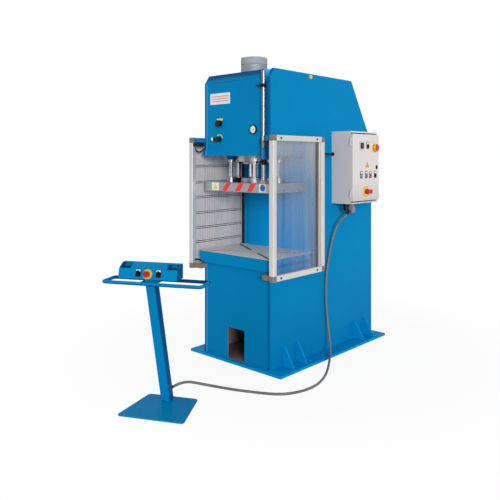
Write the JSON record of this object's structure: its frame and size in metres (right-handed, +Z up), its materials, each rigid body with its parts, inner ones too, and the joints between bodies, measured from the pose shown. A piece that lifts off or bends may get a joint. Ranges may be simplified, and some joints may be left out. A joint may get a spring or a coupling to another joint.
{
  "type": "hydraulic press",
  "caption": "C-frame hydraulic press with a guided ram over a slotted table, clear side guards, a control cabinet and a two-hand console on a leaning pedestal, joined by a conduit.",
  "frame": {"origin": "on the floor, at the centre of the press's anchor holes", "axes": "+X along the press front to the operator's right, +Y to the rear, +Z up"},
  "size_m": [1.2363, 2.6373, 2.375],
  "materials": {
    "press_blue": "semi-gloss enamel",
    "pedestal_blue": "textured enamel",
    "cap_grey": "matt enamel",
    "barrel_steel": "machined",
    "ground_steel": "ground",
    "bright_rod": "polished",
    "turned_steel": "turned",
    "bronze": "turned",
    "black_steel": "blackened",
    "profile_aluminium": "anodised",
    "corner_grey": "moulded",
    "clear_panel": "clear twin-wall sheet",
    "cabinet_grey": "powder coat",
    "zinc_plate": "zinc plated",
    "black_plastic": "moulded",
    "green_plastic": "moulded",
    "red_plastic": "moulded",
    "yellow_plastic": "moulded",
    "grey_plastic": "moulded",
    "conduit_grey": "ribbed sheath",
    "tank_paint": "primer and enamel",
    "motor_grey": "painted casting",
    "needle_black": "matt"
  },
  "bodies": {
    "press": {"base_plate": "press_blue", "right_side_plate": "press_blue", "left_side_plate": "press_blue", "lower_front_panel": "press_blue", "throat_back_plate": "press_blue", "head_floor_plate": "press_blue", "head_front_cover": "press_blue", "head_top_cover": "press_blue", "rear_cover": "press_blue", "table_plate": "ground_steel", "cylinder_barrel": "barrel_steel", "cylinder_cap": "cap_grey", "gland_flange": "turned_steel", "guide_bushes": "bronze", "gauge_case": "turned_steel", "filler_plug": "yellow_plastic", "valve_block": "zinc_plate", "oil_tank": "tank_paint", "pump_motor": "motor_grey", "guard_posts": "profile_aluminium", "guard_rails": "profile_aluminium", "guard_corners": "corner_grey", "guard_brackets": "press_blue", "guard_panels": "clear_panel", "guard_bolts": "black_steel", "cabinet_box": "cabinet_grey", "cabinet_plate": "zinc_plate", "cable_gland": "black_plastic", "conduit_elbow": "grey_plastic", "conduit": "conduit_grey", "pedestal_foot": "pedestal_blue", "pedestal_column": "pedestal_blue", "pedestal_ring": "pedestal_blue", "console_housing": "pedestal_blue"},
    "ram": {"piston_rod": "bright_rod", "ram_plate": "ground_steel", "guide_columns": "bright_rod", "stroke_rod": "bright_rod"},
    "upper_stop": {"upper_stop": "black_steel"},
    "lower_stop": {"lower_stop": "black_steel"},
    "upper_lever": {"upper_lever": "black_steel"},
    "lower_lever": {"lower_lever": "black_steel"},
    "needle": {"gauge_needle": "needle_black"},
    "speed_knob": {"speed_knob": "black_plastic"},
    "pressure_lever": {"pressure_lever": "black_plastic"},
    "guard_latch": {"guard_latch": "black_steel"},
    "door": {"cabinet_door": "cabinet_grey", "display_module": "black_plastic"},
    "door_estop": {"door_estop": "red_plastic"},
    "mode_selector": {"mode_selector": "black_plastic"},
    "start_button": {"start_button": "green_plastic"},
    "stop_button": {"stop_button": "red_plastic"},
    "lever_selector": {"lever_selector": "black_plastic"},
    "door_lock": {"door_lock": "turned_steel"},
    "main_switch": {"main_switch": "red_plastic"},
    "left_palm_button": {"left_palm_button": "black_plastic"},
    "right_palm_button": {"right_palm_button": "black_plastic"},
    "console_estop": {"console_estop": "red_plastic"},
    "left_selector": {"left_selector": "black_plastic"},
    "right_selector": {"right_selector": "black_plastic"}
  },
  "joints": [
    {"name": "ram_slide", "type": "slide", "parent": "press", "child": "ram", "axis": [0, 0, -1], "range_m": [0, 0.43]},
    {"name": "upper_stop_slide", "type": "slide", "parent": "ram", "child": "upper_stop", "axis": [0, 0, 1], "range_m": [-0.43, 0.08]},
    {"name": "lower_stop_slide", "type": "slide", "parent": "ram", "child": "lower_stop", "axis": [0, 0, 1], "range_m": [-0.11, 0]},
    {"name": "upper_lever_turn", "type": "hinge", "parent": "upper_stop", "child": "upper_lever", "pos_m": [0.268, -0.714, 2.1205], "axis": [0, 1, 0], "range_deg": [-80, 80]},
    {"name": "lower_lever_turn", "type": "hinge", "parent": "lower_stop", "child": "lower_lever", "pos_m": [0.268, -0.714, 1.5507], "axis": [0, 1, 0], "range_deg": [-90, 0]},
    {"name": "speed_knob_turn", "type": "hinge", "parent": "press", "child": "speed_knob", "pos_m": [-0.174, -0.71, 1.853], "axis": [0, -1, 0], "range_deg": [-135, 135]},
    {"name": "pressure_lever_turn", "type": "hinge", "parent": "press", "child": "pressure_lever", "pos_m": [-0.176, -0.71, 1.73], "axis": [0, -1, 0], "range_deg": [-45, 45]},
    {"name": "needle_turn", "type": "hinge", "parent": "press", "child": "needle", "pos_m": [0.188, -0.71, 1.795], "axis": [0, 1, 0], "range_deg": [0, 270], "stiffness_Nm_per_rad": 0.001, "springref_deg": -17.19},
    {"name": "latch_pull", "type": "slide", "parent": "press", "child": "guard_latch", "axis": [0, 1, 0], "range_m": [0, 0.018], "stiffness_N_per_m": 600, "springref_m": -0.002},
    {"name": "door_hinge", "type": "hinge", "parent": "press", "child": "door", "pos_m": [0.5378, 0.065, 1.5], "axis": [0, 0, -1], "range_deg": [0, 110]},
    {"name": "door_estop_press", "type": "slide", "parent": "door", "child": "door_estop", "axis": [-1, 0, 0], "range_m": [0, 0.004], "stiffness_N_per_m": 1500, "springref_m": -0.002},
    {"name": "mode_selector_turn", "type": "hinge", "parent": "door", "child": "mode_selector", "pos_m": [0.553, 0.2968, 1.67784], "axis": [1, 0, 0], "range_deg": [-45, 45]},
    {"name": "start_press", "type": "slide", "parent": "door", "child": "start_button", "axis": [-1, 0, 0], "range_m": [0, 0.004], "stiffness_N_per_m": 900, "springref_m": -0.002},
    {"name": "stop_press", "type": "slide", "parent": "door", "child": "stop_button", "axis": [-1, 0, 0], "range_m": [0, 0.004], "stiffness_N_per_m": 900, "springref_m": -0.002},
    {"name": "lever_selector_turn", "type": "hinge", "parent": "door", "child": "lever_selector", "pos_m": [0.553, 0.41425, 1.43412], "axis": [1, 0, 0], "range_deg": [-45, 45]},
    {"name": "door_lock_turn", "type": "hinge", "parent": "door", "child": "door_lock", "pos_m": [0.553, 0.43855, 1.5035], "axis": [1, 0, 0], "range_deg": [0, 90]},
    {"name": "main_switch_turn", "type": "hinge", "parent": "door", "child": "main_switch", "pos_m": [0.553, 0.27088, 1.30425], "axis": [1, 0, 0], "range_deg": [0, 90]},
    {"name": "left_palm_press", "type": "slide", "parent": "press", "child": "left_palm_button", "axis": [0, 0, -1], "range_m": [0, 0.004], "stiffness_N_per_m": 900, "springref_m": -0.002},
    {"name": "right_palm_press", "type": "slide", "parent": "press", "child": "right_palm_button", "axis": [0, 0, -1], "range_m": [0, 0.004], "stiffness_N_per_m": 900, "springref_m": -0.002},
    {"name": "console_estop_press", "type": "slide", "parent": "press", "child": "console_estop", "axis": [-0.4326, 0.864, -0.2577], "range_m": [0, 0.004], "stiffness_N_per_m": 1500, "springref_m": -0.002},
    {"name": "left_selector_turn", "type": "hinge", "parent": "press", "child": "left_selector", "pos_m": [0.2385, -1.80438, 0.88365], "axis": [0.4326, -0.864, 0.2577], "range_deg": [-45, 45]},
    {"name": "right_selector_turn", "type": "hinge", "parent": "press", "child": "right_selector", "pos_m": [0.35832, -1.74438, 0.88365], "axis": [0.4326, -0.864, 0.2577], "range_deg": [-45, 45]}
  ]
}
